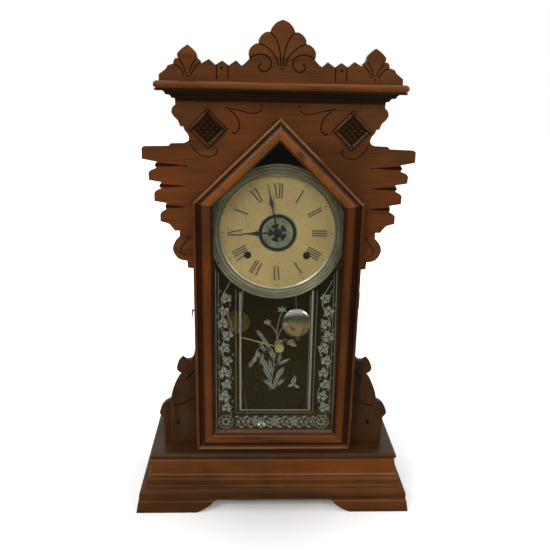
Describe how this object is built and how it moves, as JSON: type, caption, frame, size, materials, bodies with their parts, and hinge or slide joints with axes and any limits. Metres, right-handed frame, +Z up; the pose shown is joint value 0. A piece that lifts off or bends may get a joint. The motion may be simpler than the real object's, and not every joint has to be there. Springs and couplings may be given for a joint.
{
  "type": "gingerbread mantel clock",
  "caption": "Shaped wooden mantel clock with a pointed glass door, round dial with alarm disc, pendulum and striking works, standing on a moulded base.",
  "frame": {"origin": "middle of the footprint on the standing plane (bottom centre of the bounding box)", "axes": "+Z up, front of the clock faces -Y, +X to the right seen from the front"},
  "size_m": [0.332, 0.125, 0.5604],
  "materials": {
    "dark_wood": "satin varnish",
    "red_wood": "satin varnish",
    "plain_wood": "sawn",
    "clear_glass": "clear",
    "brass": "aged",
    "dull_brass": "tarnished",
    "black_steel": "blued black",
    "dial_paper": "matte, aged",
    "silvered": "nickel plated",
    "spring_steel": "polished",
    "blued_steel": "blued",
    "cast_iron": "japanned"
  },
  "bodies": {
    "case": {"base_front_skirt": "dark_wood", "base_side_skirts": "dark_wood", "base_front_board": "red_wood", "base_side_boards": "red_wood", "base_top_board": "red_wood", "glue_blocks": "plain_wood", "case_left_side": "dark_wood", "case_right_side": "dark_wood", "case_back_board": "plain_wood", "front_panel": "dark_wood", "face_strips": "dark_wood", "lower_lobes": "dark_wood", "left_bracket": "dark_wood", "right_bracket": "dark_wood", "diamond_blocks": "red_wood", "cornice_board": "red_wood", "bed_front": "red_wood", "bed_sides": "red_wood", "crest_board": "dark_wood", "case_hinge_leaves": "brass", "dial_pan": "dial_paper", "dial_bezel": "dull_brass", "dial_blocks": "plain_wood", "fasteners": "brass", "mainsprings": "spring_steel", "front_plate": "brass", "back_plate": "brass", "gong_coil": "blued_steel", "gong_base": "cast_iron", "alarm_unit": "brass", "alarm_bell": "silvered"},
    "door": {"door_left_stile": "red_wood", "door_right_stile": "red_wood", "door_bottom_rail": "red_wood", "door_left_slope": "red_wood", "door_right_slope": "red_wood", "door_glass": "clear_glass", "glass_beads": "red_wood", "door_hinge_leaves": "brass"},
    "latch": {"latch_hook": "black_steel"},
    "alarm_setting": {"alarm_disc": "silvered"},
    "minute": {"minute_hand": "black_steel", "centre_wheel": "brass"},
    "hour": {"hour_hand": "black_steel", "hour_wheel": "brass"},
    "motion": {"minute_wheel": "brass"},
    "time_great": {"time_great_wheel": "brass"},
    "time_second": {"time_second_wheel": "brass"},
    "third": {"third_wheel": "brass"},
    "escape": {"escape_wheel": "brass"},
    "verge_body": {"verge": "spring_steel"},
    "pendulum": {"pendulum_rod": "spring_steel", "pendulum_bob": "silvered"},
    "strike_great": {"strike_great_wheel": "brass"},
    "strike_second": {"strike_second_wheel": "brass"},
    "strike_pins": {"strike_pin_wheel": "brass"},
    "strike_warning": {"strike_warning_wheel": "brass"},
    "fly": {"strike_fly": "brass"},
    "hammer": {"strike_hammer": "dull_brass"},
    "alarm_hammer_body": {"alarm_hammer": "black_steel"}
  },
  "joints": [
    {"name": "door_swing", "type": "hinge", "parent": "case", "child": "door", "pos_m": [0.0936, -0.03, 0.192], "axis": [0, 0, 1], "range_deg": [0, 100]},
    {"name": "latch_turn", "type": "hinge", "parent": "door", "child": "latch", "pos_m": [-0.0949, -0.033, 0.252], "axis": [1, 0, 0], "range_deg": [0, 60]},
    {"name": "alarm_set", "type": "hinge", "parent": "case", "child": "alarm_setting", "pos_m": [0, 0, 0.339], "axis": [0, 1, 0], "continuous": true},
    {"name": "minute_spin", "type": "hinge", "parent": "case", "child": "minute", "pos_m": [0, 0, 0.339], "axis": [0, 1, 0], "continuous": true},
    {"name": "hour_spin", "type": "hinge", "parent": "case", "child": "hour", "pos_m": [0, 0, 0.339], "axis": [0, 1, 0], "continuous": true},
    {"name": "motion_spin", "type": "hinge", "parent": "case", "child": "motion", "pos_m": [0, 0, 0.3246], "axis": [0, 1, 0], "continuous": true},
    {"name": "time_great_spin", "type": "hinge", "parent": "case", "child": "time_great", "pos_m": [0.0337, 0, 0.3126], "axis": [0, 1, 0], "continuous": true},
    {"name": "time_second_spin", "type": "hinge", "parent": "case", "child": "time_second", "pos_m": [0.01814, 0, 0.33186], "axis": [0, 1, 0], "continuous": true},
    {"name": "third_spin", "type": "hinge", "parent": "case", "child": "third", "pos_m": [-0.00742, 0, 0.35491], "axis": [0, 1, 0], "continuous": true},
    {"name": "escape_spin", "type": "hinge", "parent": "case", "child": "escape", "pos_m": [0.0056, 0, 0.36205], "axis": [0, 1, 0], "continuous": true},
    {"name": "pendulum_swing", "type": "hinge", "parent": "case", "child": "pendulum", "pos_m": [0.014, 0, 0.395], "axis": [0, 1, 0], "range_deg": [0, 8.1]},
    {"name": "verge_rock", "type": "hinge", "parent": "case", "child": "verge_body", "pos_m": [0.0104, 0, 0.3737], "axis": [0, 1, 0], "range_deg": [0, 16.2]},
    {"name": "pin_wheel_spin", "type": "hinge", "parent": "case", "child": "strike_pins", "pos_m": [-0.028, 0, 0.35444], "axis": [0, 1, 0], "continuous": true},
    {"name": "strike_second_spin", "type": "hinge", "parent": "case", "child": "strike_second", "pos_m": [-0.031, 0, 0.3372], "axis": [0, 1, 0], "continuous": true},
    {"name": "strike_great_spin", "type": "hinge", "parent": "case", "child": "strike_great", "pos_m": [-0.0337, 0, 0.3126], "axis": [0, 1, 0], "continuous": true},
    {"name": "warning_spin", "type": "hinge", "parent": "case", "child": "strike_warning", "pos_m": [-0.031, 0, 0.36944], "axis": [0, 1, 0], "continuous": true},
    {"name": "fly_spin", "type": "hinge", "parent": "case", "child": "fly", "pos_m": [-0.0205, 0, 0.37599], "axis": [0, 1, 0], "continuous": true},
    {"name": "hammer_lift", "type": "hinge", "parent": "case", "child": "hammer", "pos_m": [-0.038, 0, 0.299], "axis": [0, -1, 0], "range_deg": [0, 10]},
    {"name": "alarm_hammer_swing", "type": "hinge", "parent": "case", "child": "alarm_hammer_body", "pos_m": [-0.05, 0, 0.2], "axis": [0, 1, 0], "range_deg": [0, 8]}
  ],
  "couplings": [
    {"joint": "hour_spin", "follows": "minute_spin", "ratio": 0.083333},
    {"joint": "motion_spin", "follows": "minute_spin", "ratio": -0.33333},
    {"joint": "time_second_spin", "follows": "minute_spin", "ratio": -0.18182},
    {"joint": "time_great_spin", "follows": "minute_spin", "ratio": 0.027972},
    {"joint": "third_spin", "follows": "minute_spin", "ratio": -12},
    {"joint": "escape_spin", "follows": "minute_spin", "ratio": 120},
    {"joint": "verge_rock", "follows": "pendulum_swing", "ratio": 1.968},
    {"joint": "strike_second_spin", "follows": "pin_wheel_spin", "ratio": -0.16667},
    {"joint": "strike_great_spin", "follows": "pin_wheel_spin", "ratio": 0.025641},
    {"joint": "warning_spin", "follows": "pin_wheel_spin", "ratio": -7.5},
    {"joint": "fly_spin", "follows": "pin_wheel_spin", "ratio": 51.429}
  ]
}
